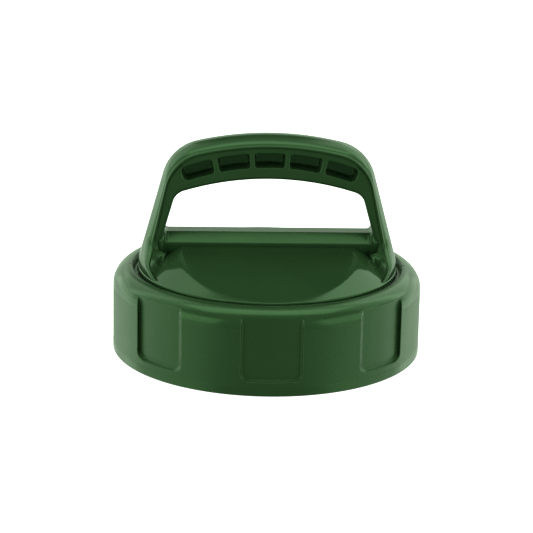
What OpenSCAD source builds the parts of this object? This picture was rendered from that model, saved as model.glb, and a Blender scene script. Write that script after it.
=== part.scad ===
// Storage lid for a wide-mouth oil container: a screw collar that turns freely round
// an inner lid with an arched carrying handle.
// Frame: +Z up, the collar's bottom edge on z = 0, the screw axis on Z, the handle across X.

/* [Collar] */
// Outside radius of the collar
collar_r = 70; // [69:0.5:72]
// Height of the collar
collar_h = 38.5; // [38:0.5:42]
// Radius of the rounded shoulder
shoulder_r = 8.6; // [7:0.2:8.6]
// Depth of the grip recesses
recess_depth = 1.8; // [0.8:0.1:2]
// Width of one grip recess
recess_w = 27.4; // [22:0.2:29]
// Height of the recesses' lower edge
recess_z = 6.4; // [6:0.2:12]
// Corner radius of a recess
recess_corner = 4; // [2:0.5:6]

/* [Handle] */
// Crown of the arch above the collar's top face
arch_h = 61.1; // [58:0.1:64]
// Radius of the arch's top
arch_r = 140; // [130:1:150]
// Radius of the arch's two corners
arch_corner_r = 20.5; // [19:0.5:22]
// Half width where the top turns into the corners
arch_turn_x = 32.6; // [32:0.2:33]
// Lean of the legs from vertical, in degrees
leg_lean = 15.3; // [14.5:0.1:16]
// Depth of the handle, front to back
handle_depth = 20.4; // [18:0.2:22]
// Depth of a lightening pocket from either face
pocket_depth = 9; // [6:0.5:9]

/* [Lid] */
// Height of the dome's ridge above the collar's top face
ridge_h = 12.4; // [11.8:0.1:13]
// Wall thickness of the dome
dome_wall = 2.6; // [2:0.1:3]
// Outside radius of the plug that enters the neck
plug_r = 55.6; // [54:0.2:55.8]
// Cord diameter of the plug's O-ring
o_ring_d = 3; // [2.4:0.1:3]

/* [Hidden] */
$fn = 96;
far = 200;
slack = 0.05;

// Collar
lip_w = 11;
wall_t = 4;
mouth_r = collar_r - lip_w;
bore_r = collar_r - wall_t;
socket_r = bore_r + 0.6;
socket_h = 7;
lip_t = 3;
edge_r = 0.6;
foot_chamfer = 0.8;
panel_pitch = 45;
panel_angles = [for (side = [0, 180], k = [-1, 0, 1]) side + k * panel_pitch];
panel_floor_r = collar_r - recess_depth;
thread_crest_r = bore_r - 2.2;
thread_starts = 2;
thread_lead = 12;
thread_z = 11;
lugs_per_start = 4;
lug_arc = 56;
lug_h = 2.6;
groove_r = bore_r + 1;

// Lid
rim_r = mouth_r - 0.4;
rim_z = collar_h + 0.5;
rim_wall = 6.5;
flange_r = thread_crest_r - 0.5;
flange_t = 2.5;
slip_t = 0.6;
flange_top = collar_h - lip_t - slip_t - slack;
flange_z = flange_top - flange_t;
plug_wall = 4;
plug_depth = 10.4;
plug_z = flange_z - plug_depth;
plug_edge = 1.4;
o_groove_z = plug_z + 3;
dome_side_slope = 0.5;
rib_count = 8;
rib_t = 1.8;
rib_turn = 22.5;
rib_inset = 4;
boss_h = 20;
floor_rib_h = 3;
pad_half = [6.5, 13];
pad_x = rim_r - 7.5;

// Screws: a pan head, a shank and a hexagon socket
screw_r = 2;
screw_head_r = 3.7;
screw_head_h = 2.2;
screw_socket_r = 1.5;
screw_play = 0.03;
plug_screw_count = 6;
plug_screw_pcr = 40;
plug_screw_len = 9;
screw_socket_depth = 1.2;
boss_r = 4.5;
handle_screw_y = 4.2;
handle_screw_len = 12;

// Seals and rings
o_groove_d = 1.9;
gasket_in = plug_r + 1;
gasket_out = rim_r + 3.3;
gasket_t = 2.8;
gasket_seat = 0.9;
ring_in = gasket_out + 0.4;
ring_t = 1.6;
ring_gap = 8;

// Handle
top_angle = asin(arch_turn_x / arch_r);
corner_c = [arch_turn_x, arch_h - arch_r + sqrt(pow(arch_r, 2) - pow(arch_turn_x, 2))]
    - arch_corner_r * [sin(top_angle), cos(top_angle)];
leg_top = corner_c + arch_corner_r * [cos(leg_lean), sin(leg_lean)];
crown_drop = 2.3;
crown_step = 3.5;
grip_r = 127;
grip_z = 42.1;
opening_corner_r = 7;
opening_turn_x = 38.2;
opening_x = 44;
opening_z = 27.5;
opening_lean = 15.9;
bridge_z = 16.5;
bridge_half = 8.4;
bridge_len = 100;
bridge_bevel = [4.5, 4.1];
bridge_foot = 4;
end_pocket = 2;
pocket_len = 14.2;
pocket_pitch = 16.2;
pocket_h = 7;
pocket_mid_z = 50.8;
pocket_path_r = 111.1;
pocket_corner = 1.6;
foot_x = 51.6;
foot_w = 12;
foot_r = rim_r - 0.15;
foot_taper = 5.6;
foot_outline = [[9.8, 14.4], [15, 9.2], [21, 5.6], [28, 1.2], [28, -2]];
tenon = [5, 13, 2.4];
tenon_x = rim_r - 7.2;
tenon_gap = 0.1;

// Points on an arc about c, from angle a0 to a1 in n steps
function arc(c, r, a0, a1, n) =
    [for (i = [0 : n]) c + r * [cos(a0 + (a1 - a0) * i / n), sin(a0 + (a1 - a0) * i / n)]];

// ---------- collar ----------

module collar_section() {
    difference() {
        union() {
            translate([mouth_r, collar_h - lip_t])
                square([collar_r - shoulder_r - mouth_r + slack, lip_t]);
            translate([bore_r - 1, 0])
                square([collar_r - bore_r + 1, collar_h - shoulder_r]);
            intersection() {
                translate([collar_r - shoulder_r, collar_h - shoulder_r]) circle(r = shoulder_r);
                translate([collar_r - shoulder_r, collar_h - shoulder_r]) square(shoulder_r);
            }
            translate([bore_r - 1, collar_h - shoulder_r - slack])
                square([collar_r - shoulder_r - bore_r + 1 + slack, shoulder_r]);
        }
        // the inside, up to the lip
        translate([0, -1]) square([bore_r, collar_h - lip_t + 1]);
        // the plain socket at the mouth
        translate([0, -1]) square([socket_r, socket_h + 1]);
        // the groove that holds the retaining ring
        translate([0, flange_z - 0.1 - ring_t]) square([groove_r, ring_t]);
        // chamfer under the outer edge
        translate([collar_r, 0]) rotate(45) square(foot_chamfer * sqrt(2), center = true);
        translate([mouth_r, collar_h]) rotate(45) square(edge_r * sqrt(2), center = true);
    }
}

// The volume that one grip recess takes out of the collar
module recess(angle) {
    rotate(angle) difference() {
        translate([0, -collar_r + 8, 0]) rotate([90, 0, 0]) linear_extrude(16) {
            translate([-recess_w / 2, recess_z + recess_corner])
                square([recess_w, collar_h]);
            translate([-recess_w / 2 + recess_corner, recess_z])
                square([recess_w - 2 * recess_corner, collar_h]);
            for (s = [-1, 1])
                translate([s * (recess_w / 2 - recess_corner), recess_z + recess_corner])
                    circle(r = recess_corner);
        }
        translate([0, 0, -1]) cylinder(r = panel_floor_r, h = collar_h + 20);
    }
}

// One lug of the interrupted thread, leaned to the thread's lead
module thread_lug(angle, z) {
    lead_angle = atan(thread_lead / (2 * PI * thread_crest_r));
    rotate(angle) translate([0, 0, z]) rotate([lead_angle, 0, 0])
        rotate(-lug_arc / 2) rotate_extrude(angle = lug_arc)
            polygon([[thread_crest_r, -lug_h / 2 + 0.8], [bore_r + 0.5, -lug_h / 2 - 0.2],
                     [bore_r + 0.5, lug_h / 2 + 0.2], [thread_crest_r, lug_h / 2 - 0.8]]);
}

module collar() {
    color("#2d5a2b") {
        difference() {
            rotate_extrude() collar_section();
            for (a = panel_angles) recess(a);
        }
        for (start = [0 : thread_starts - 1], k = [0 : lugs_per_start - 1])
            thread_lug(start * 360 / thread_starts + k * 360 / lugs_per_start,
                       thread_z + thread_lead * k / lugs_per_start);
    }
}

// ---------- inner lid ----------

// Half section of the dome's cone, lowered by drop and drawn in by inset
module dome_section(drop, inset) {
    base = flange_top - (inset > 0 ? 1 : 0);
    edge_z = rim_z - drop;
    polygon([[0, base], [rim_r - inset, base],
             [rim_r - inset, edge_z + dome_side_slope * inset],
             [0, edge_z + dome_side_slope * rim_r]]);
}

// The roof that slopes from the ridge to the front and back of the rim
module roof(drop) {
    translate([-far / 2, 0, 0]) rotate([90, 0, 90]) linear_extrude(far)
        polygon([[-far / 2, 0], [far / 2, 0], [rim_r, rim_z - drop],
                 [0, collar_h + ridge_h - drop], [-rim_r, rim_z - drop]]);
}

// Everything up to the dome's outer face
module dome_envelope(drop = 0, inset = 0) {
    intersection() {
        rotate_extrude() dome_section(drop, inset);
        roof(drop);
    }
}

module handle_sockets(grow) {
    for (s = [-1, 1])
        translate([s * tenon_x, 0, 0])
            translate([-tenon[0] / 2 - grow, -tenon[1] / 2 - grow, collar_h + 0.2 - grow])
                cube([tenon[0] + 2 * grow, tenon[1] + 2 * grow, 20]);
}

// Places a screw's children upright at each of the plug's screw positions
module at_plug_screws() {
    for (k = [0 : plug_screw_count - 1])
        rotate(k * 360 / plug_screw_count) translate([plug_screw_pcr, 0, flange_z]) children();
}

module at_handle_screws() {
    for (sx = [-1, 1], sy = [-1, 1])
        translate([sx * tenon_x, sy * handle_screw_y, flange_top + screw_head_h]) children();
}

// A screw whose head's underside is on z = 0, pointing up
module screw(length) {
    difference() {
        union() {
            translate([0, 0, -screw_head_h]) cylinder(r = screw_head_r, h = screw_head_h);
            cylinder(r = screw_r, h = length - 1);
            translate([0, 0, length - 1]) cylinder(r1 = screw_r, r2 = screw_r / 2, h = 1);
        }
        translate([0, 0, -screw_head_h - 1])
            cylinder(r = screw_socket_r, h = 1 + screw_socket_depth, $fn = 6);
    }
}

module dome_cover() {
    color("#28502a") difference() {
        union() {
            difference() {
                dome_envelope();
                dome_envelope(dome_wall, rim_wall);
            }
            intersection() {
                dome_envelope(dome_wall / 2, 1);
                union() {
                    for (s = [-1, 1])
                        translate([s * pad_x - pad_half[0], -pad_half[1], flange_top])
                            cube([2 * pad_half[0], 2 * pad_half[1], 30]);
                    for (k = [0 : rib_count / 2 - 1]) rotate(rib_turn + k * 360 / rib_count)
                        translate([-rim_r + rib_inset, -rib_t / 2, flange_top + 0.3])
                            cube([2 * (rim_r - rib_inset), rib_t, far]);
                    for (k = [0 : plug_screw_count - 1]) rotate(k * 360 / plug_screw_count)
                        translate([plug_screw_pcr, 0, flange_top])
                            cylinder(r = boss_r, h = boss_h);
                }
            }
        }
        handle_sockets(tenon_gap);
        at_plug_screws() cylinder(r = screw_r + screw_play, h = plug_screw_len + 0.3);
        at_handle_screws() {
            translate([0, 0, -screw_head_h - 1])
                cylinder(r = screw_head_r + 0.2, h = screw_head_h + 1);
            cylinder(r = screw_r + screw_play, h = handle_screw_len);
        }
    }
}

// The plug carries the flange under the collar's lip, both seals and the lid's floor
module plug() {
    color("#28502a") difference() {
        union() {
            rotate_extrude() difference() {
                union() {
                    translate([0, flange_z]) square([flange_r, flange_t]);
                    translate([plug_r - plug_wall, plug_z]) square([plug_wall, plug_depth + slack]);
                }
                translate([gasket_in, flange_z - 1]) square([gasket_out - gasket_in, 1 + gasket_seat]);
                translate([plug_r - o_groove_d, o_groove_z]) square([4, o_ring_d + 0.6]);
                translate([plug_r, plug_z]) rotate(45) square(plug_edge, center = true);
            }
            for (k = [0 : plug_screw_count / 2 - 1])
                rotate((k + 0.5) * 360 / plug_screw_count)
                    translate([-plug_r + plug_wall - 0.5, -rib_t / 2, flange_z - floor_rib_h])
                        cube([2 * (plug_r - plug_wall) + 1, rib_t, floor_rib_h + slack]);
        }
        at_plug_screws() translate([0, 0, -1]) cylinder(r = screw_r + screw_play, h = 10);
    }
}

// ---------- handle ----------

// Right half of the arch's outer edge, drawn in by inset, from the crown down to the foot
function outer_edge(inset) = concat(
    arc([0, arch_h - arch_r], arch_r - inset, 90, 90 - top_angle, 12),
    arc(corner_c, arch_corner_r - inset, 90 - top_angle, leg_lean, 14),
    [leg_top + [-inset, 0] + (leg_top[1] + 4) * [tan(leg_lean), -1]]);

// Right half of the finger opening's edge, from the foot up to the middle of the grip
function inner_edge() =
    let (a = asin(opening_turn_x / grip_r),
         turn = [opening_turn_x, grip_z - grip_r + grip_r * cos(a)],
         c = turn - opening_corner_r * [sin(a), cos(a)],
         foot = opening_x + (opening_z - 14) * tan(opening_lean))
    concat([[foot, -4], [foot, 14]],
           arc(c, opening_corner_r, opening_lean, 90 - a, 10),
           arc([0, grip_z - grip_r], grip_r, 90 - a, 90, 14));

function mirrored(points) = [for (i = [len(points) - 1 : -1 : 0]) [-points[i][0], points[i][1]]];

// The arch as one flat plate of the given depth
module arch_plate(depth, inset) {
    right = concat(outer_edge(inset), inner_edge());
    rotate([90, 0, 0]) translate([0, 0, -depth / 2]) linear_extrude(depth)
        polygon(concat(right, mirrored(right)));
}

// One lightening pocket; the outermost two have a round outer end
module pocket_outline(k) {
    l = pocket_len / 2 - pocket_corner;
    h = pocket_h / 2 - pocket_corner;
    for (x = [-l, l], y = [-h, h]) translate([x, y]) circle(r = pocket_corner, $fn = 24);
    square([2 * l, pocket_h], center = true);
    square([pocket_len, 2 * h], center = true);
    if (abs(k) == end_pocket)
        translate([sign(k) * (pocket_len / 2 - pocket_h / 2 + 0.8), 0]) circle(d = pocket_h, $fn = 48);
}

module pockets() {
    for (k = [-end_pocket : end_pocket], s = [0, 1]) mirror([0, s, 0])
        translate([0, 0, pocket_mid_z - pocket_path_r])
            rotate([0, k * pocket_pitch / pocket_path_r * 180 / PI, 0])
                translate([0, -handle_depth / 2 + pocket_depth, pocket_path_r])
                    rotate([90, 0, 0]) linear_extrude(pocket_depth + 2) pocket_outline(k);
}

// The straight bridge that ties the two legs together over the dome
module bridge() {
    rotate([90, 0, 90]) translate([0, 0, -bridge_len / 2]) linear_extrude(bridge_len)
        polygon([[-bridge_half, bridge_foot], [bridge_half, bridge_foot],
                 [bridge_half, bridge_z - bridge_bevel[1]],
                 [bridge_half - bridge_bevel[0], bridge_z],
                 [-bridge_half + bridge_bevel[0], bridge_z],
                 [-bridge_half, bridge_z - bridge_bevel[1]]]);
}

// The foot of each leg fans out along the rim
module feet() {
    intersection() {
        for (s = [-1, 1]) translate([s > 0 ? foot_x : -foot_x - foot_w, 0, 0])
            rotate([90, 0, 90]) linear_extrude(foot_w)
                polygon(concat(mirrored(foot_outline), foot_outline));
        translate([0, 0, -3]) cylinder(r1 = foot_r, r2 = foot_r - foot_taper, h = 20);
    }
}

module handle_screw_holes() {
    at_handle_screws() cylinder(r = screw_r + screw_play, h = handle_screw_len + 0.3);
}

module handle() {
    color("#2a552b") {
        difference() {
            translate([0, 0, collar_h]) {
                difference() {
                    union() {
                        arch_plate(handle_depth, crown_drop);
                        arch_plate(handle_depth - 2 * crown_step, 0);
                        feet();
                        bridge();
                    }
                    pockets();
                }
            }
            dome_envelope();
            handle_screw_holes();
            translate([0, 0, -far]) cylinder(r = far, h = far + rim_z - 0.2);
            difference() {
                translate([0, 0, collar_h - 5]) cylinder(r = far, h = 12);
                translate([0, 0, collar_h - 6]) cylinder(r = foot_r, h = 20);
            }
        }
        difference() {
            intersection() {
                handle_sockets(0);
                dome_envelope();
            }
            handle_screw_holes();
        }
    }
}

// ---------- seals and rings ----------

module neck_gasket() {
    color("#1b1b1b") rotate_extrude()
        translate([gasket_in + slack, flange_z + gasket_seat - gasket_t])
            square([gasket_out - gasket_in - 2 * slack, gasket_t]);
}

module plug_o_ring() {
    color("#1b1b1b") rotate_extrude()
        translate([plug_r - o_groove_d + o_ring_d / 2, o_groove_z + o_ring_d / 2 + 0.3])
            circle(d = o_ring_d);
}

module slip_ring() {
    color("#e9e6da") rotate_extrude()
        translate([mouth_r + 0.2, flange_top]) square([flange_r - mouth_r - 0.4, slip_t]);
}

module retaining_ring() {
    gap_angle = ring_gap / groove_r * 180 / PI;
    color("#d8d5c8") rotate(90 + gap_angle / 2) rotate_extrude(angle = 360 - gap_angle)
        translate([ring_in, flange_z - 0.1 - ring_t]) square([groove_r - 0.1 - ring_in, ring_t]);
}

module plug_screws() {
    color("#b9bcc0") at_plug_screws() screw(plug_screw_len);
}

module handle_screws() {
    color("#b9bcc0") at_handle_screws() screw(handle_screw_len);
}

collar();
dome_cover();
handle();
plug();
neck_gasket();
plug_o_ring();
slip_ring();
retaining_ring();
plug_screws();
handle_screws();
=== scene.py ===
import math

import bmesh
import bpy
import numpy as np
from mathutils import Matrix, Vector


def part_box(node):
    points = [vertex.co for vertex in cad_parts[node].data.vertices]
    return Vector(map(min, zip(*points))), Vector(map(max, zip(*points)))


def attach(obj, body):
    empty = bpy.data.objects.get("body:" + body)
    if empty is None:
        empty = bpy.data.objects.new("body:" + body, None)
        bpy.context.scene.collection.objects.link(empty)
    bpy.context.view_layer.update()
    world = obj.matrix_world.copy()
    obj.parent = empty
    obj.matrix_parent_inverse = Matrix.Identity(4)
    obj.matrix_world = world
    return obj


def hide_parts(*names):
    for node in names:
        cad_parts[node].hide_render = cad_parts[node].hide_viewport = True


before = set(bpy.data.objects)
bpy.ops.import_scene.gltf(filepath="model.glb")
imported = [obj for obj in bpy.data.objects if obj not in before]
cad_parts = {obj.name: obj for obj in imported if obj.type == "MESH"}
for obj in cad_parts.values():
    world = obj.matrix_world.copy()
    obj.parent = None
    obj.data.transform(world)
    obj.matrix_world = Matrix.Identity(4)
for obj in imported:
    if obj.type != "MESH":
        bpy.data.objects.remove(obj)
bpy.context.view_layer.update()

# ---------------------------------------------------------------- studio
# The lid stands on a plain white table, lit by an overhead softbox, high panels and low
# strips on both sides, a low light backdrop and light side walls at the back. The room
# behind the camera is dim.
mm = 0.001
collar_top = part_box("collar")[1].z
view_distance = 1.0
view_elevation = math.radians(16.85)
view_turn = math.radians(2.3)
view_roll = math.radians(1.15)
aim = Vector((-0.3 * mm, 0, collar_top - 1.0 * mm))
back_off = Vector((
    -math.sin(view_turn) * math.cos(view_elevation),
    -math.cos(view_turn) * math.cos(view_elevation),
    math.sin(view_elevation),
))
camera_data = bpy.data.cameras.new("camera")
camera_data.sensor_width = 36
camera_data.lens = 148.5
camera = bpy.data.objects.new("camera", camera_data)
bpy.context.collection.objects.link(camera)
look = (-back_off).to_track_quat("-Z", "Y").to_matrix().to_4x4()
camera.matrix_world = (
    Matrix.Translation(aim + view_distance * back_off) @ look @ Matrix.Rotation(view_roll, 4, "Z")
)
bpy.context.scene.camera = camera
bpy.context.scene.view_settings.view_transform = "Standard"


panel_white = (0.78, 1.0, 0.76)


def softbox(name, turn, rise, wide, tall, radiance):
    """A panel aimed at the lid, unseen by the camera. turn is degrees from the back towards
    +X, rise degrees up, and wide and tall the degrees it spans."""
    reach = 0.9
    turn, rise = math.radians(turn), math.radians(rise)
    way = Vector((math.sin(turn) * math.cos(rise), math.cos(turn) * math.cos(rise), math.sin(rise)))
    light = bpy.data.lights.new(name, "AREA")
    light.shape = "RECTANGLE"
    light.size = 2 * reach * math.tan(math.radians(wide / 2))
    light.size_y = 2 * reach * math.tan(math.radians(tall / 2))
    light.energy = math.pi * light.size * light.size_y * radiance
    light.color = panel_white
    lamp = bpy.data.objects.new(name, light)
    lamp.visible_camera = False
    bpy.context.collection.objects.link(lamp)
    facing = (-way).to_track_quat("-Z", "Y").to_matrix().to_4x4()
    lamp.matrix_world = Matrix.Translation(Vector((0, 0, collar_top)) + reach * way) @ facing


softbox("overhead_box", 0, 91, 66, 33, 2.2)
softbox("left_high_panel", -72, 37, 36, 40, 0.7)
softbox("right_high_panel", 72, 37, 36, 40, 0.8)
softbox("left_back_strip", -60, 6, 60, 16, 0.8)
softbox("right_back_strip", 60, 6, 60, 16, 0.6)
softbox("left_front_strip", -118, 15, 50, 28, 1.7)
softbox("right_front_strip", 118, 15, 50, 28, 1.6)

world = bpy.data.worlds.new("studio")
bpy.context.scene.world = world
world.use_nodes = True
sky = world.node_tree
sky.nodes.clear()
sky_out = sky.nodes.new("ShaderNodeOutputWorld")
sky_mix = sky.nodes.new("ShaderNodeMixShader")
sky_path = sky.nodes.new("ShaderNodeLightPath")
white_surround = sky.nodes.new("ShaderNodeBackground")
white_surround.inputs["Strength"].default_value = 1.0
dim_room = sky.nodes.new("ShaderNodeBackground")
dim_room.inputs["Color"].default_value = (*panel_white, 1)
direction = sky.nodes.new("ShaderNodeTexCoord")
axes = sky.nodes.new("ShaderNodeSeparateXYZ")
sky.links.new(direction.outputs["Generated"], axes.inputs[0])
sideways = sky.nodes.new("ShaderNodeMath")
sideways.operation = "ABSOLUTE"
sky.links.new(axes.outputs["X"], sideways.inputs[0])


def ramp(along, start, end, level):
    """A smooth step of the room's light, from 0 at start to level at end."""
    step = sky.nodes.new("ShaderNodeMapRange")
    step.interpolation_type = "SMOOTHSTEP"
    step.inputs["From Min"].default_value = start
    step.inputs["From Max"].default_value = end
    step.inputs["To Max"].default_value = level
    sky.links.new(along, step.inputs["Value"])
    return step.outputs[0]


def combine(operation, first, second):
    """Two levels of the room's light added or multiplied."""
    node = sky.nodes.new("ShaderNodeMath")
    node.operation = operation
    sky.links.new(first, node.inputs[0])
    sky.links.new(second, node.inputs[1])
    return node.outputs[0]


# a low backdrop, the table's bounce, light side walls at the back, and a faint front fill
backdrop_level = 0.9
bounce_level = 0.9
fill_level = 0.4
both_walls_level = 0.95
right_wall_extra = 0.55
low_backdrop = combine("MULTIPLY", ramp(axes.outputs["Z"], 0.40, 0.30, backdrop_level),
                       ramp(axes.outputs["Y"], 0.3, 0.6, 1.0))
table_bounce = combine("MULTIPLY", ramp(axes.outputs["Z"], 0.03, -0.03, bounce_level),
                       ramp(sideways.outputs[0], 0.45, 0.85, 1.0))
front_fill = ramp(axes.outputs["Y"], 0.72, 0.45, fill_level)
side_walls = combine("MULTIPLY",
                     combine("ADD", ramp(sideways.outputs[0], 0.14, 0.30, both_walls_level),
                             ramp(axes.outputs["X"], 0.14, 0.30, right_wall_extra)),
                     combine("MULTIPLY", ramp(axes.outputs["Y"], 0.30, 0.50, 1.0),
                             ramp(axes.outputs["Z"], 0.25, 0.35, 1.0)))
room = combine("ADD", combine("ADD", low_backdrop, table_bounce),
               combine("ADD", side_walls, front_fill))
sky.links.new(room, dim_room.inputs["Strength"])
sky.links.new(sky_path.outputs["Is Camera Ray"], sky_mix.inputs["Fac"])
sky.links.new(dim_room.outputs[0], sky_mix.inputs[1])
sky.links.new(white_surround.outputs[0], sky_mix.inputs[2])
sky.links.new(sky_mix.outputs[0], sky_out.inputs["Surface"])

table_data = bpy.data.meshes.new("table")
table_reach = 6.0
table_data.from_pydata(
    [(-table_reach, -table_reach, 0), (table_reach, -table_reach, 0),
     (table_reach, table_reach, 0), (-table_reach, table_reach, 0)], [], [(0, 1, 2, 3)])
table = bpy.data.objects.new("table", table_data)
bpy.context.collection.objects.link(table)
table_finish = bpy.data.materials.new("table_white")
table_finish.use_nodes = True
table_shader = table_finish.node_tree.nodes["Principled BSDF"]
table_shader.inputs["Base Color"].default_value = (0.9, 0.9, 0.9, 1)
table_shader.inputs["Roughness"].default_value = 0.9
table_shader.inputs["Specular IOR Level"].default_value = 0.0
table_shader.inputs["Emission Color"].default_value = (1, 1, 1, 1)
table_shader.inputs["Emission Strength"].default_value = 1.0
table_data.materials.append(table_finish)
table.visible_glossy = False
table.visible_diffuse = False

# ---------------------------------------------------------------- collar
# The screw ring: green polypropylene, injection-moulded in a two-part mould that opens to
# the front and back. The shoulder is polished, the skirt and its six grips are fine-grained.
collar_r = 69.85
foot_band_r = 69.93
bore_r = 66.0
socket_r = 66.6
mouth_r = 59.0
shoulder_r = 8.5
shoulder_z = 30.0
collar_h = collar_top / mm
lip_t = 3.0
grip_floor_r = 68.2
grip_half_angle = math.radians(11.25)
grip_angles = [math.radians(side + k * 45) for side in (-90, 90) for k in (-1, 0, 1)]
grip_foot_z = 6.3
grip_corner = 3.6
grip_wall = 0.95
seam_turn = math.radians(0.34)
seam_depth = 0.16
ring_groove = (30.65, 32.25, 67.0)


def rounded(corners, steps=6):
    """Points round a closed outline of (x, y, radius) corners, each turned with an arc."""
    points = []
    for i, (x, y, radius) in enumerate(corners):
        here = Vector((x, y))
        before = Vector(corners[i - 1][:2]) - here
        after = Vector(corners[(i + 1) % len(corners)][:2]) - here
        if radius == 0:
            points.append((x, y))
            continue
        before.normalize()
        after.normalize()
        half = math.acos(max(-1, min(1, before.dot(after)))) / 2
        middle = here + (before + after).normalized() * radius / math.sin(half)
        start = here + before * radius / math.tan(half) - middle
        end = here + after * radius / math.tan(half) - middle
        sweep = start.angle_signed(end)
        for k in range(steps + 1):
            arm = start.copy()
            arm.rotate(Matrix.Rotation(-sweep * k / steps, 2))
            points.append(tuple(middle + arm))
    return points


def piece(name, points, faces, body, material):
    """A smooth mesh piece from points in millimetres, riding on a body."""
    mesh = bpy.data.meshes.new(name)
    mesh.from_pydata([(x * mm, y * mm, z * mm) for x, y, z in points], [], faces)
    work = bmesh.new()
    work.from_mesh(mesh)
    bmesh.ops.remove_doubles(work, verts=work.verts, dist=1e-7)
    bmesh.ops.recalc_face_normals(work, faces=work.faces)
    work.to_mesh(mesh)
    work.free()
    mesh.shade_smooth()
    mesh.materials.append(material)
    made = bpy.data.objects.new(name, mesh)
    bpy.context.collection.objects.link(made)
    even = made.modifiers.new("even_normals", "WEIGHTED_NORMAL")
    even.keep_sharp = True
    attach(made, body)
    return made


def grid_faces(rows, columns, first=0, close_rows=False, close_columns=False):
    """Quads over a rows by columns grid of points numbered from first."""
    faces = []
    for i in range(rows if close_rows else rows - 1):
        for j in range(columns if close_columns else columns - 1):
            i2, j2 = (i + 1) % rows, (j + 1) % columns
            faces.append((first + i * columns + j, first + i * columns + j2,
                          first + i2 * columns + j2, first + i2 * columns + j))
    return faces


def build_mottle():
    """Node group: the faint cloudiness, rubbed patches and fine grain of moulded plastic."""
    group = bpy.data.node_groups.new("moulded_mottle", "ShaderNodeTree")
    face = group.interface
    face.new_socket("Color", in_out="INPUT", socket_type="NodeSocketColor")
    face.new_socket("Roughness", in_out="INPUT", socket_type="NodeSocketFloat")
    face.new_socket("Grain Size", in_out="INPUT", socket_type="NodeSocketFloat")
    face.new_socket("Grain Height", in_out="INPUT", socket_type="NodeSocketFloat")
    face.new_socket("Color", in_out="OUTPUT", socket_type="NodeSocketColor")
    face.new_socket("Roughness", in_out="OUTPUT", socket_type="NodeSocketFloat")
    face.new_socket("Height", in_out="OUTPUT", socket_type="NodeSocketFloat")
    nodes, links = group.nodes, group.links
    given = nodes.new("NodeGroupInput")
    result = nodes.new("NodeGroupOutput")
    place = nodes.new("ShaderNodeTexCoord")
    # slow clouds in the pigment
    cloud = nodes.new("ShaderNodeTexNoise")
    cloud.inputs["Scale"].default_value = 38
    cloud.inputs["Detail"].default_value = 3
    links.new(place.outputs["Object"], cloud.inputs["Vector"])
    shade = nodes.new("ShaderNodeMapRange")
    shade.inputs["From Min"].default_value = 0.3
    shade.inputs["From Max"].default_value = 0.7
    shade.inputs["To Min"].default_value = 0.93
    shade.inputs["To Max"].default_value = 1.07
    links.new(cloud.outputs[0], shade.inputs["Value"])
    tint = nodes.new("ShaderNodeVectorMath")
    tint.operation = "SCALE"
    links.new(given.outputs["Color"], tint.inputs[0])
    links.new(shade.outputs[0], tint.inputs["Scale"])
    links.new(tint.outputs[0], result.inputs["Color"])
    # rubbed patches are a little duller
    rub = nodes.new("ShaderNodeTexNoise")
    rub.inputs["Scale"].default_value = 90
    rub.inputs["Detail"].default_value = 2
    rub.inputs["Roughness"].default_value = 0.65
    links.new(place.outputs["Object"], rub.inputs["Vector"])
    dull = nodes.new("ShaderNodeMapRange")
    dull.inputs["From Min"].default_value = 0.45
    dull.inputs["From Max"].default_value = 0.75
    dull.inputs["To Min"].default_value = 1.0
    dull.inputs["To Max"].default_value = 1.15
    links.new(rub.outputs[0], dull.inputs["Value"])
    rough = nodes.new("ShaderNodeMath")
    rough.operation = "MULTIPLY"
    links.new(given.outputs["Roughness"], rough.inputs[0])
    links.new(dull.outputs[0], rough.inputs[1])
    links.new(rough.outputs[0], result.inputs["Roughness"])
    # spark-eroded grain
    grain = nodes.new("ShaderNodeTexNoise")
    grain.inputs["Detail"].default_value = 2
    grain.inputs["Roughness"].default_value = 0.6
    links.new(place.outputs["Object"], grain.inputs["Vector"])
    links.new(given.outputs["Grain Size"], grain.inputs["Scale"])
    height = nodes.new("ShaderNodeMath")
    height.operation = "MULTIPLY"
    links.new(grain.outputs[0], height.inputs[0])
    links.new(given.outputs["Grain Height"], height.inputs[1])
    links.new(height.outputs[0], result.inputs["Height"])
    return group


mottle = build_mottle()


def moulded(name, color, roughness, grain_per_m, grain_mm, glint=(1, 1, 1)):
    """A moulded finish; grain_mm is the height of its grain, glint the tint of its gloss."""
    material = bpy.data.materials.new(name)
    material.use_nodes = True
    nodes, links = material.node_tree.nodes, material.node_tree.links
    shader = nodes["Principled BSDF"]
    skin = nodes.new("ShaderNodeGroup")
    skin.node_tree = mottle
    skin.inputs["Color"].default_value = (*color, 1)
    skin.inputs["Roughness"].default_value = roughness
    skin.inputs["Grain Size"].default_value = grain_per_m
    skin.inputs["Grain Height"].default_value = grain_mm
    bump = nodes.new("ShaderNodeBump")
    bump.inputs["Strength"].default_value = 1.0
    bump.inputs["Distance"].default_value = mm
    links.new(skin.outputs["Color"], shader.inputs["Base Color"])
    links.new(skin.outputs["Roughness"], shader.inputs["Roughness"])
    links.new(skin.outputs["Height"], bump.inputs["Height"])
    links.new(bump.outputs[0], shader.inputs["Normal"])
    shader.inputs["IOR"].default_value = 1.5
    shader.inputs["Specular Tint"].default_value = (*glint, 1)
    return material


green = (0.024, 0.054, 0.022)
green_glint = (0.5, 1.0, 0.48)
satin_green = moulded("satin_green", green, 0.18, 1300, 0.012, green_glint)
grained_green = moulded("grained_green", green, 0.32, 1500, 0.10, green_glint)


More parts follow.
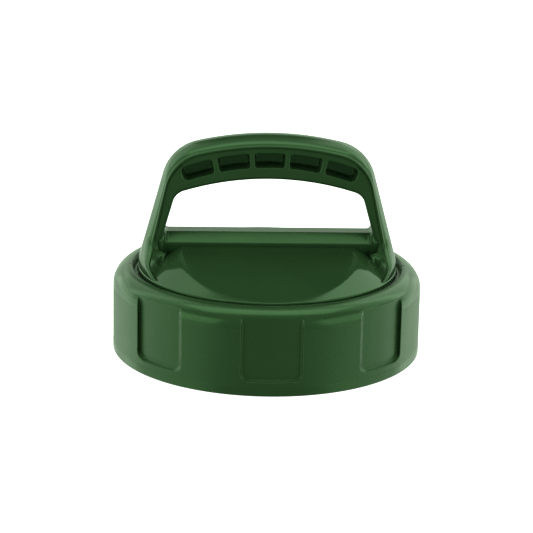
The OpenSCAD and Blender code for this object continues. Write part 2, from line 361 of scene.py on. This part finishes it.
def collar_outline():
    """Closed outline of the collar's wall as (r, z), with close rows where the grips turn."""
    skirt = [4.6, 5.3, 5.8, 6.1, 6.3, 6.5, 6.7, 6.9, 7.1, 7.3, 7.6, 8.0, 8.5, 9.1, 9.8, 10.6, 11.6]
    skirt += [13 + 2 * k for k in range(9)]
    shoulder = [(collar_r - shoulder_r + shoulder_r * math.cos(a),
                 shoulder_z + shoulder_r * math.sin(a))
                for a in (math.radians(3 * k) for k in range(31))]
    groove_low, groove_high, groove_r = ring_groove
    inside = rounded([
        (mouth_r, collar_h, 0.45), (mouth_r, collar_h - lip_t, 0.3),
        (bore_r, collar_h - lip_t, 0.6), (bore_r, groove_high, 0.15),
        (groove_r, groove_high, 0.15), (groove_r, groove_low, 0.15), (bore_r, groove_low, 0.2),
        (bore_r, 7.0, 0.2), (socket_r, 6.6, 0.2), (socket_r, 0, 0.5),
        (foot_band_r, 0, 0.8), (foot_band_r, 3.7, 0.6), (collar_r, 4.3, 0.6),
    ], 4)
    return inside + [(collar_r, z) for z in skirt] + shoulder


def grip_columns():
    """Angles of the collar's columns: 3 degrees apart, closer at grip walls and seams."""
    turns = [math.radians(3 * k) for k in range(120)]
    turns += [(side * math.pi + k * seam_turn / 2) % (2 * math.pi)
              for side in (0, 1) for k in range(-4, 5)]
    for middle in grip_angles:
        for side in (-1, 1):
            for k in range(15):
                step = 0.24 * k + 0.007 * k * k
                inward = grip_half_angle + math.radians(0.5 - step)
                turns.append((middle + side * inward) % (2 * math.pi))
    turns = sorted(turns)
    kept = [turns[0]]
    for angle in turns[1:]:
        if angle - kept[-1] > math.radians(0.12):
            kept.append(angle)
    return kept


def grip_depth(angle, r, z):
    """How far a point of the outer wall moves in along the mould's pull to form a grip."""
    x = r * math.cos(angle)
    y = abs(r * math.sin(angle))
    for middle in grip_angles:
        if (middle > 0) != (math.sin(angle) > 0):
            continue
        ends = [collar_r * math.cos(middle + side * grip_half_angle) for side in (-1, 1)]
        half = abs(ends[0] - ends[1]) / 2
        across = abs(x - sum(ends) / 2) - half + grip_corner
        down = grip_foot_z - z + grip_corner
        outside = math.hypot(max(across, 0), max(down, 0)) + min(max(across, down), 0) - grip_corner
        if outside < 0:
            part = min(1, -outside / grip_wall)
            part = part * part * (3 - 2 * part)
            floor = math.sqrt(max(grip_floor_r ** 2 - x * x, 0))
            return part * max(0, y - floor)
    return 0


def seam_groove(angle, r, z):
    """The outer wall's (r, z) with the mould's parting line cut at either side."""
    off = abs(math.remainder(angle, math.pi)) / seam_turn
    if off >= 1 or (r < bore_r + 1.2 and z < collar_h - 0.1):
        return r, z
    out = Vector((max(r - collar_r + shoulder_r, 0), max(z - shoulder_z, 0))).normalized()
    return r - seam_depth * (1 - off) * out.x, z - seam_depth * (1 - off) * out.y


outline = collar_outline()
columns = grip_columns()
points = []
for angle in columns:
    for r, z in outline:
        r, z = seam_groove(angle, r, z)
        x, y = r * math.cos(angle), r * math.sin(angle)
        if r > collar_r - shoulder_r and z > 4.3 and r > bore_r + 1.2:
            y -= math.copysign(grip_depth(angle, r, z), y)
        points.append((x, y, z))
faces = grid_faces(len(columns), len(outline), close_rows=True, close_columns=True)

# the two-start thread inside: lugs along a helix, tapered at both ends
thread_crest_r = 63.8
thread_lead = 12.0
lug_steps = 24
for start in range(2):
    for lug in range(4):
        first = len(points)
        for step in range(lug_steps + 1):
            share = step / lug_steps - 0.5
            turn = math.radians(56) * share
            z = 11 + thread_lead * (lug / 4 + turn / (2 * math.pi))
            grow = min(1, (0.5 - abs(share)) / 0.12)
            crest = bore_r + 0.4 - (bore_r + 0.4 - thread_crest_r) * (grow * (2 - grow))
            spin = start * math.pi + lug * math.pi / 2 + turn
            for r, rise in ((bore_r + 0.4, -1.5), (crest + 0.25, -0.65), (crest, -0.4),
                            (crest, 0.4), (crest + 0.25, 0.65), (bore_r + 0.4, 1.5)):
                points.append((r * math.cos(spin), r * math.sin(spin), z + rise))
        faces += grid_faces(lug_steps + 1, 6, first, close_columns=True)
        faces += [tuple(range(first, first + 6)), tuple(range(len(points) - 6, len(points)))]

collar = piece("screw_collar_ring", points, faces, "screw_collar", satin_green)
collar.data.materials.append(grained_green)
for face in collar.data.polygons:
    middle = face.center / mm
    out = math.hypot(middle.x, middle.y)
    on_skirt = 4.3 < middle.z < shoulder_z - 0.1 and out > socket_r + 0.8
    in_grip = shoulder_z - 0.2 < middle.z < 36 and socket_r + 0.8 < out < grip_floor_r + 0.15
    on_floor = in_grip and abs(face.normal.z) < 0.2
    if on_skirt or on_floor:
        face.material_index = 1
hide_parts("collar")

# ---------------------------------------------------------------- rings
# Two loose rings of unpigmented acetal. The slip ring is a flat washer under the collar's
# lip; the retaining ring is split, so that it springs into the groove inside the collar.
natural_acetal = moulded("natural_acetal", (0.62, 0.60, 0.53), 0.35, 1200, 0.02)
slip_t = 0.6
flange_top = collar_h - lip_t - slip_t - 0.05
flange_t = 2.5
flange_z = flange_top - flange_t
retaining_r = (62.3, 66.9)
retaining_gap = 8.0


def lathe(name, outline, body, material, columns=180, gap=0.0):
    """Turns a closed (r, z) outline about the screw axis, with an open gap at the back."""
    turns = [math.pi / 2 + gap / 2 + (2 * math.pi - gap) * k / columns for k in range(columns + 1)]
    if not gap:
        turns.pop()
    points = [(r * math.cos(a), r * math.sin(a), z) for a in turns for r, z in outline]
    faces = grid_faces(len(turns), len(outline), close_rows=not gap, close_columns=True)
    if gap:
        faces += [tuple(range(len(outline))), tuple(range(len(points) - len(outline), len(points)))]
    return piece(name, points, faces, body, material)


slip = lathe("slip_washer", rounded([
    (mouth_r + 0.2, flange_top + slip_t, 0.1), (thread_crest_r - 0.7, flange_top + slip_t, 0.1),
    (thread_crest_r - 0.7, flange_top, 0.1), (mouth_r + 0.2, flange_top, 0.1),
], 3), "inner_lid", natural_acetal)
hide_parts("slip_ring")

groove_low, groove_high, groove_r = ring_groove
snap = lathe("split_snap_ring", rounded([
    (retaining_r[0], groove_high, 0.3), (retaining_r[1], groove_high, 0.3),
    (retaining_r[1], groove_low, 0.3), (retaining_r[0], groove_low, 0.3),
], 3), "screw_collar", natural_acetal, gap=retaining_gap / groove_r)
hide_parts("retaining_ring")

# ---------------------------------------------------------------- plug and seals
# The plug closes the lid from below: flange, floor and a wall that enters the neck, moulded
# in the same green. A flat gasket seals on the neck's top and an O-ring inside it.
plug_r = 55.6
plug_wall = 4.0
plug_z = flange_z - 10.4
flange_r = thread_crest_r - 0.5
gasket_r = (plug_r + 1, 61.9)
gasket_seat = 0.9
gasket_t = 2.8
o_ring_d = 3.0
o_groove_z = plug_z + 3
o_groove_d = 1.9
nitrile_black = moulded("nitrile_black", (0.018, 0.018, 0.019), 0.45, 1600, 0.03)


def prism(points, faces, outline, stations):
    """Adds a closed bar to points and faces: outline (across, up) placed at each station."""
    first = len(points)
    for place in stations:
        points += [place(u, v) for u, v in outline]
    faces += grid_faces(len(stations), len(outline), first, close_columns=True)
    faces += [tuple(range(first, first + len(outline))),
              tuple(range(len(points) - len(outline), len(points)))]


plug_outline = rounded([
    (0, flange_top, 0), (flange_r, flange_top, 0.4), (flange_r, flange_z, 0.4),
    (gasket_r[1], flange_z, 0.15), (gasket_r[1], flange_z + gasket_seat, 0),
    (gasket_r[0], flange_z + gasket_seat, 0), (gasket_r[0], flange_z, 0.15), (plug_r, flange_z, 0.3),
    (plug_r, o_groove_z + o_ring_d + 0.6, 0.25),
    (plug_r - o_groove_d, o_groove_z + o_ring_d + 0.6, 0.25),
    (plug_r - o_groove_d, o_groove_z, 0.25), (plug_r, o_groove_z, 0.25), (plug_r, plug_z, 1.0),
    (plug_r - plug_wall, plug_z, 0.8), (plug_r - plug_wall, flange_z, 1.2), (0, flange_z, 0),
], 5)
turns = 180
points = [(r * math.cos(2 * math.pi * k / turns), r * math.sin(2 * math.pi * k / turns), z)
          for k in range(turns) for r, z in plug_outline]
faces = grid_faces(turns, len(plug_outline), close_rows=True, close_columns=True)
rib_outline = rounded([(-0.9, flange_z + 0.3, 0), (-0.9, flange_z - 3, 0.5),
                       (0.9, flange_z - 3, 0.5), (0.9, flange_z + 0.3, 0)], 4)
for k in range(3):
    spin = math.radians(30 + 60 * k)
    prism(points, faces, rib_outline, [
        lambda u, v, s=s: (s * math.cos(spin) - u * math.sin(spin),
                           s * math.sin(spin) + u * math.cos(spin), v)
        for s in np.linspace(-plug_r + plug_wall - 0.4, plug_r - plug_wall + 0.4, 9)])
plug = piece("plug_moulding", points, faces, "inner_lid", satin_green)
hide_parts("plug")

gasket = lathe("neck_gasket_ring", rounded([
    (gasket_r[0] + 0.05, flange_z + gasket_seat, 0.2), (gasket_r[1] - 0.05, flange_z + gasket_seat, 0.2),
    (gasket_r[1] - 0.05, flange_z + gasket_seat - gasket_t, 0.5),
    (gasket_r[0] + 0.05, flange_z + gasket_seat - gasket_t, 0.5),
], 4), "inner_lid", nitrile_black)
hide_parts("neck_gasket")

o_ring_r = plug_r - o_groove_d + o_ring_d / 2
o_ring = lathe("plug_o_ring_cord", [
    (o_ring_r + o_ring_d / 2 * math.cos(a), o_groove_z + 0.3 + o_ring_d / 2 * (1 + math.sin(a)))
    for a in (2 * math.pi * k / 20 for k in range(20))
], "inner_lid", nitrile_black)
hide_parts("plug_o_ring")

# ---------------------------------------------------------------- screws
# Stainless self-tapping screws with a pan head and a hexagon socket: six hold the plug up
# into the dome cover, and four more, hidden by the plug, hold the handle's feet.
stainless = moulded("stainless", (0.56, 0.57, 0.58), 0.28, 2500, 0.004)
stainless.node_tree.nodes["Principled BSDF"].inputs["Metallic"].default_value = 1.0
screw_r = 2.0
head_r = 3.7
head_h = 2.2
socket_half = 1.3
plug_screw_ring = 40
handle_screw_x = 51.4
handle_screw_y = 4.2


def screw_points(points, faces, x, y, z, length):
    """Adds one upright screw whose head's flat side is at height z."""
    first = len(points)
    around = 36
    rings = [(0, -head_h + 1.3, True), (1, -head_h + 1.2, True), (1, -head_h, True),
             (2.3, -head_h, False), (3.0, -head_h + 0.12, False), (3.45, -head_h + 0.5, False),
             (head_r, -0.9, False), (head_r, -0.15, False), (head_r - 0.15, 0, False),
             (screw_r, 0, False)]
    turns_up = 7
    for k in range(turns_up * 2):
        rings.append((screw_r - 0.45 * (k % 2), 0.4 + (length - 2) * k / (turns_up * 2), False))
    rings += [(screw_r - 0.5, length - 1, False), (0.3, length, False), (0, length, False)]
    for r, rise, hexagon in rings:
        for k in range(around):
            a = 2 * math.pi * k / around
            reach = r
            if hexagon:
                reach = r * socket_half / math.cos(a % (math.pi / 3) - math.pi / 6)
            points.append((x + reach * math.cos(a), y + reach * math.sin(a), z + rise))
    faces += grid_faces(len(rings), around, first, close_columns=True)


points, faces = [], []
for k in range(6):
    spin = math.radians(60 * k)
    screw_points(points, faces, plug_screw_ring * math.cos(spin),
                 plug_screw_ring * math.sin(spin), flange_z, 9)
plug_screws = piece("plug_screw_set", points, faces, "inner_lid", stainless)
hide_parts("plug_screws")

points, faces = [], []
for x in (-handle_screw_x, handle_screw_x):
    for y in (-handle_screw_y, handle_screw_y):
        screw_points(points, faces, x, y, flange_top + head_h, 12)
handle_screws = piece("handle_screw_set", points, faces, "inner_lid", stainless)
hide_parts("handle_screws")

# ---------------------------------------------------------------- dome cover
# The polished top of the inner lid: two flat slopes, front and back, that run down from the
# cross bar to the rim, cut off by a dished cone at the sides. It is a shell 2.6 mm thick.
polished_green = moulded("polished_green", green, 0.10, 900, 0.004, green_glint)
rim_r = 58.6
rim_z = collar_h + 0.2
rim_round = 0.5
ridge_z = collar_h + 12.4
side_slope = 0.44
side_curve = 0.0065
dome_wall = 2.6
rim_wall = 6.5


def dome_height(x, y):
    """Height of the cover's outer face: the lower of the slope and the dished side."""
    slope = rim_z + (ridge_z - rim_z) * (1 - abs(y) / rim_r)
    inward = rim_r - math.hypot(x, y)
    side = rim_z + side_slope * inward + side_curve * inward ** 2
    blend = 0.5
    near = max(blend - abs(slope - side), 0) / blend
    return min(slope, side) - near * near * blend / 4


flat_r = rim_r - rim_round
steps_out = [flat_r * math.sin(math.radians(90 * k / 36)) for k in range(37)]
edge_turns = [math.radians(90 * k / 8) for k in range(1, 9)]
steps_in = [(rim_r - rim_wall) * (1 - k / 16) for k in range(17)]
columns = 216
points = []
for k in range(columns):
    c, s = math.cos(2 * math.pi * k / columns), math.sin(2 * math.pi * k / columns)
    for r in steps_out:
        points.append((r * c, r * s, dome_height(r * c, r * s)))
    for turn in edge_turns:
        r = flat_r + rim_round * math.sin(turn)
        points.append((r * c, r * s, dome_height(r * c, r * s) - rim_round * (1 - math.cos(turn))))
    for r in (rim_r, rim_r - rim_wall):
        points.append((r * c, r * s, flange_top + 0.02))
    for r in steps_in:
        points.append((r * c, r * s, dome_height(r * c, r * s) - dome_wall))
faces = grid_faces(columns, len(points) // columns, close_rows=True, close_columns=True)
cover = piece("domed_cover", points, faces, "inner_lid", polished_green)
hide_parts("dome_cover")

# ---------------------------------------------------------------- handle
# The carrying arch, one polished green moulding: a crowned outer band with a bead along both
# edges, a thinner web cored out by five pockets in each face, feet that fan out along the
# rim, and the straight bar that ties them together over the dome.
buffed_green = moulded("buffed_green", green, 0.20, 1100, 0.008, green_glint)
crown_z = collar_h + 61.1
crown_r = 140.0
crown_c = Vector((0, crown_z - crown_r))
crown_turn = math.asin(32.6 / crown_r)
corner_r = 20.5
corner_c = crown_c + (crown_r - corner_r) * Vector((math.sin(crown_turn), math.cos(crown_turn)))
leg_lean = math.radians(15.3)
leg_start = corner_c + corner_r * Vector((math.cos(leg_lean), math.sin(leg_lean)))
grip_r = 127.0
grip_c = Vector((0, collar_h + 42.1 - grip_r))
opening_lean = math.radians(15.9)
opening_side = Vector((44.0, collar_h + 27.5))
opening_r = 7.0
side_normal = Vector((math.cos(opening_lean), math.sin(opening_lean)))
opening_turn = math.asin(
    ((opening_side - grip_c).dot(side_normal) - opening_r) / (grip_r - opening_r)) - opening_lean
opening_c = grip_c + (grip_r - opening_r) * Vector((math.sin(opening_turn), math.cos(opening_turn)))
opening_leg = opening_c + opening_r * side_normal
pocket_r = 111.1
pocket_c = Vector((0, collar_h + 50.8 - pocket_r))
pocket_half_h = 3.7
pocket_ends = [(-20.7, -12.9), (-12.1, -4.4), (-3.7, 3.7), (4.4, 12.1), (12.9, 20.7)]
cell_ends = [-21.1, -12.5, -4.05, 4.05, 12.5, 21.1]
cell_half_h = 4.4
pocket_floor = 0.6
half_depth = 10.0
web_inset = 0.7
crown_drop = 2.6
foot_z = collar_h - 1.0
foot_fillet = 4.0
foot_fillet_z = collar_h + 12
across = 14
down = 8


def spread(count):
    """Shares from 0 to 1, closer together at both ends."""
    return [(k / count + 0.5 - 0.5 * math.cos(math.pi * k / count)) / 2 for k in range(count + 1)]


def ray_to_circle(turn, middle, radius):
    """Where a ray from the pockets' centre, leaning by turn, leaves a circle."""
    way = Vector((math.sin(turn), math.cos(turn)))
    off = middle - pocket_c
    along = way.dot(off)
    return pocket_c + way * (along + math.sqrt(along ** 2 - off.length_squared + radius ** 2))


def arch_station(turn):
    """Outer and inner point of the arch on the ray at a turn from the middle."""
    outer = ray_to_circle(abs(turn), crown_c, crown_r)
    if outer.x > crown_r * math.sin(crown_turn):
        outer = ray_to_circle(abs(turn), corner_c, corner_r)
    inner = ray_to_circle(abs(turn), grip_c, grip_r)
    return outer, inner


def corner_station(share):
    """The same round the corner, from the last pocket (0) to the top of the leg (1)."""
    outer, inner = arch_station(math.radians(cell_ends[-1]))
    arm = outer - corner_c
    turn = math.atan2(arm.x, arm.y)
    turn += (math.pi / 2 - leg_lean - turn) * share
    outer = corner_c + corner_r * Vector((math.sin(turn), math.cos(turn)))
    arm = inner - grip_c
    turn = math.atan2(arm.x, arm.y)
    grip_part = grip_r * (opening_turn - turn)
    corner_part = opening_r * (math.pi / 2 - opening_lean - opening_turn)
    run = share * (grip_part + corner_part)
    if run < grip_part:
        turn += run / grip_r
        inner = grip_c + grip_r * Vector((math.sin(turn), math.cos(turn)))
    else:
        turn = opening_turn + (run - grip_part) / opening_r
        inner = opening_c + opening_r * Vector((math.sin(turn), math.cos(turn)))
    return outer, inner


def leg_station(share):
    """The same down the leg; the inner side flares into the dome at its foot."""
    z = leg_start.y + (foot_z - leg_start.y) * share
    outer = Vector((leg_start.x + (leg_start.y - z) * math.tan(leg_lean), z))
    z = opening_leg.y + (foot_z - opening_leg.y) * share
    inner = Vector((opening_leg.x + (opening_leg.y - z) * math.tan(opening_lean), z))
    sink = min(max(foot_fillet_z - z, 0), foot_fillet)
    inner.x -= foot_fillet - math.sqrt(foot_fillet ** 2 - sink * sink)
    return outer, inner


def half_section(outer, inner, on_leg, rows):
    """Front half of a section as (inward, depth), from the crown to the opening's wall.
    rows are the web's rows: inward distances on the arch, shares of the web elsewhere."""
    width = (inner - outer).length
    low = max(collar_h + 16 - outer.y, 0) / 16 if on_leg else 0
    depth = half_depth + 21 * low ** 1.6
    low = max(collar_h + 15 - inner.y, 0) / 10 if on_leg else 0
    inner_depth = half_depth - web_inset + 3.0 * min(low, 1.2) ** 2
    section = []
    for k in range(10):
        y = (depth - 1.5) * k / 9
        fall = crown_drop * (k / 9) ** 2.3
        if on_leg:
            fall = max(fall, outer.x - math.sqrt((rim_r - 0.3) ** 2 - y * y))
        section.append((fall, y))
    edge = section[-1][0]
    section += [(edge + 0.42, depth - 1.35), (edge + 0.55, depth - 1.1), (edge + 0.62, depth - 0.7),
                (edge + 0.85, depth - 0.28), (edge + 1.2, depth - 0.05), (edge + 1.55, depth - 0.05),
                (edge + 1.85, depth - 0.25), (edge + 2.0, depth - 0.5), (edge + 2.3, depth - web_inset)]
    first, last = edge + 2.6, width - 1.6
    if rows[-1] <= 1.0:
        rows = [first + (last - first) * share for share in rows]
    for q in rows:
        section.append((q, depth - web_inset + (inner_depth - depth + web_inset)
                        * (q - first) / (last - first)))
    section += [(width - 0.9, inner_depth - 0.15), (width - 0.4, inner_depth - 0.5),
                (width - 0.1, inner_depth - 1.1), (width, inner_depth - 1.9),
                (width, inner_depth * 0.4), (width, 0)]
    return section


lead_rows = 19
shares_down = spread(down)


def web_rows(outer, inner):
    """Rows of the web on the arch: its edge, the pocket cells' rows, and its inner edge."""
    reach = (outer - pocket_c).length
    top = reach - pocket_r - cell_half_h
    rows = [top + 2 * cell_half_h * share for share in shares_down]
    return [crown_drop + 2.6] + rows + [(inner - outer).length - 1.6]


stations = []
for a, b in zip(cell_ends[:-1], cell_ends[1:]):
    for share in spread(across)[:-1]:
        stations.append(("arch", math.radians(a + (b - a) * share)))
stations.append(("arch", math.radians(cell_ends[-1])))
last_outer, last_inner = arch_station(math.radians(cell_ends[-1]))
last_rows = web_rows(last_outer, last_inner)
row_shares = [(q - last_rows[0]) / (last_rows[-1] - last_rows[0]) for q in last_rows]
round_steps, leg_steps = 14, 30
side = [("corner", k / round_steps) for k in range(1, round_steps + 1)]
side += [("leg", k / leg_steps) for k in range(1, leg_steps + 1)]
stations = [(kind, share, -1) for kind, share in reversed(side)] + \
           [(kind, turn, -1 if turn < 0 else 1) for kind, turn in stations] + \
           [(kind, share, 1) for kind, share in side]

points = []
for kind, share, sign in stations:
    if kind == "arch":
        outer, inner = arch_station(share)
        section = half_section(outer, inner, False, web_rows(outer, inner))
    elif kind == "corner":
        outer, inner = corner_station(share)
        section = half_section(outer, inner, False, row_shares)
    else:
        outer, inner = leg_station(share)
        section = half_section(outer, inner, True, row_shares)
    inward = (inner - outer).normalized()
    for q, y in section:
        spot = outer + inward * q
        points.append((sign * spot.x, -y, spot.y))
per_section = len(points) // len(stations)
first_arch = len(side)
row_top = lead_rows + 1
row_bottom = row_top + down
faces = []
for i, j, k, n in grid_faces(len(stations), per_section):
    station, row = divmod(i, per_section)
    on_arch = first_arch <= station < first_arch + 5 * across
    if not (on_arch and row_top <= row < row_bottom):
        faces.append((i, j, k, n))


def rounded_box(a, b, half_a, half_b, left_r, right_r):
    """Distance outside a rectangle whose left and right corners have their own radii."""
    radius = right_r if a > 0 else left_r
    p, q = abs(a) - half_a + radius, abs(b) - half_b + radius
    return math.hypot(max(p, 0), max(q, 0)) + min(max(p, q), 0) - radius


web_y = half_depth - web_inset
for cell, (end_a, end_b) in enumerate(pocket_ends):
    start = first_arch + cell * across
    ring = [(s, row_top) for s in range(start, start + across)]
    ring += [(start + across, r) for r in range(row_top, row_bottom)]
    ring += [(s, row_bottom) for s in range(start + across, start, -1)]
    ring += [(start, r) for r in range(row_bottom, row_top, -1)]
    loop = [s * per_section + r for s, r in ring]
    middle = math.radians(end_a + end_b) / 2
    half_a = pocket_r * math.radians(end_b - end_a) / 2
    left_r = 3.2 if cell == 0 else 1.5
    right_r = 3.2 if cell == 4 else 1.5
    spots = []
    for index in loop:
        x, _, z = points[index]
        arm = Vector((x, z)) - pocket_c
        spots.append(((math.atan2(arm.x, arm.y) - middle) * pocket_r, arm.length - pocket_r))
    # each ring is (how far inside the pocket's edge, how deep below the web)
    previous = loop
    for inset, sink in ((-0.25, 0), (0.0, 0.02), (0.2, 0.1), (0.38, 0.3), (0.48, 0.6),
                        (0.6, 2.0), (0.85, 7.2), (1.1, 8.2), (1.7, web_y - pocket_floor)):
        first = len(points)
        for a, b in spots:
            near, far = 0.0, 1.3
            for _ in range(24):
                half = (near + far) / 2
                if rounded_box(a * half, b * half, half_a, pocket_half_h, left_r, right_r) < -inset:
                    near = half
                else:
                    far = half
            arm = Vector((math.sin(middle + a * near / pocket_r),
                          math.cos(middle + a * near / pocket_r))) * (pocket_r + b * near)
            spot = pocket_c + arm
            points.append((spot.x, -web_y + sink, spot.y))
        ring = list(range(first, first + len(loop)))
        faces += [(previous[i], previous[(i + 1) % len(loop)], ring[(i + 1) % len(loop)], ring[i])
                  for i in range(len(loop))]
        previous = ring
    # the floor: strips across between the ring's top and bottom
    strips = across + 1
    top, bottom = previous[:strips], previous[across + down:across + down + strips][::-1]
    for i in range(across):
        left = [top[i]] + ([previous[-k] for k in range(1, down)] if i == 0 else []) + [bottom[i]]
        right = [top[i + 1]]
        if i == across - 1:
            right += previous[across + 1:across + down]
        right += [bottom[i + 1]]
        faces.append(tuple(left + right[::-1]))

# the back half is the front half turned over, and each foot is closed below
front = len(points)
points += [(x, -y, z) for x, y, z in points]
faces += [tuple(front + i for i in reversed(face)) for face in faces]
for station in (0, len(stations) - 1):
    loop = [station * per_section + k for k in range(per_section)]
    faces.append(tuple(loop + [front + i for i in reversed(loop[1:-1])]))

# the cross bar, with a fillet into each leg
bar_top = collar_h + 16.5
bar_foot = collar_h + 5
bar_half = 8.4
bar_flat_half = 3.9
bar_shoulder = bar_top - 4.1
bar_outline = rounded([
    (-bar_half, bar_foot, 0), (-bar_half, bar_shoulder, 0.6), (-bar_flat_half, bar_top, 0.6),
    (bar_flat_half, bar_top, 0.6), (bar_half, bar_shoulder, 0.6), (bar_half, bar_foot, 0),
], 5)
bar_reach = 46.9
fillet = 2.0
bar_x = [0, 15, 30, 40, 44.5] + [bar_reach - fillet * (1 - math.sin(math.radians(15 * k)))
                                 for k in range(7)] + [49]
bar_x = [-x for x in reversed(bar_x[1:])] + bar_x


def bar_place(x):
    """Puts the bar's outline at x, grown where it meets the leg."""
    near = min(max(abs(x) - bar_reach + fillet, 0), fillet)
    grow = fillet - math.sqrt(fillet ** 2 - near ** 2)

    def place(u, v):
        return (x, u + math.copysign(min(grow, abs(u) / 3), u), v + (grow if v > collar_h + 6 else 0))
    return place


prism(points, faces, bar_outline, [bar_place(x) for x in bar_x])
handle = piece("carrying_arch", points, faces, "inner_lid", buffed_green)
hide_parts("handle")
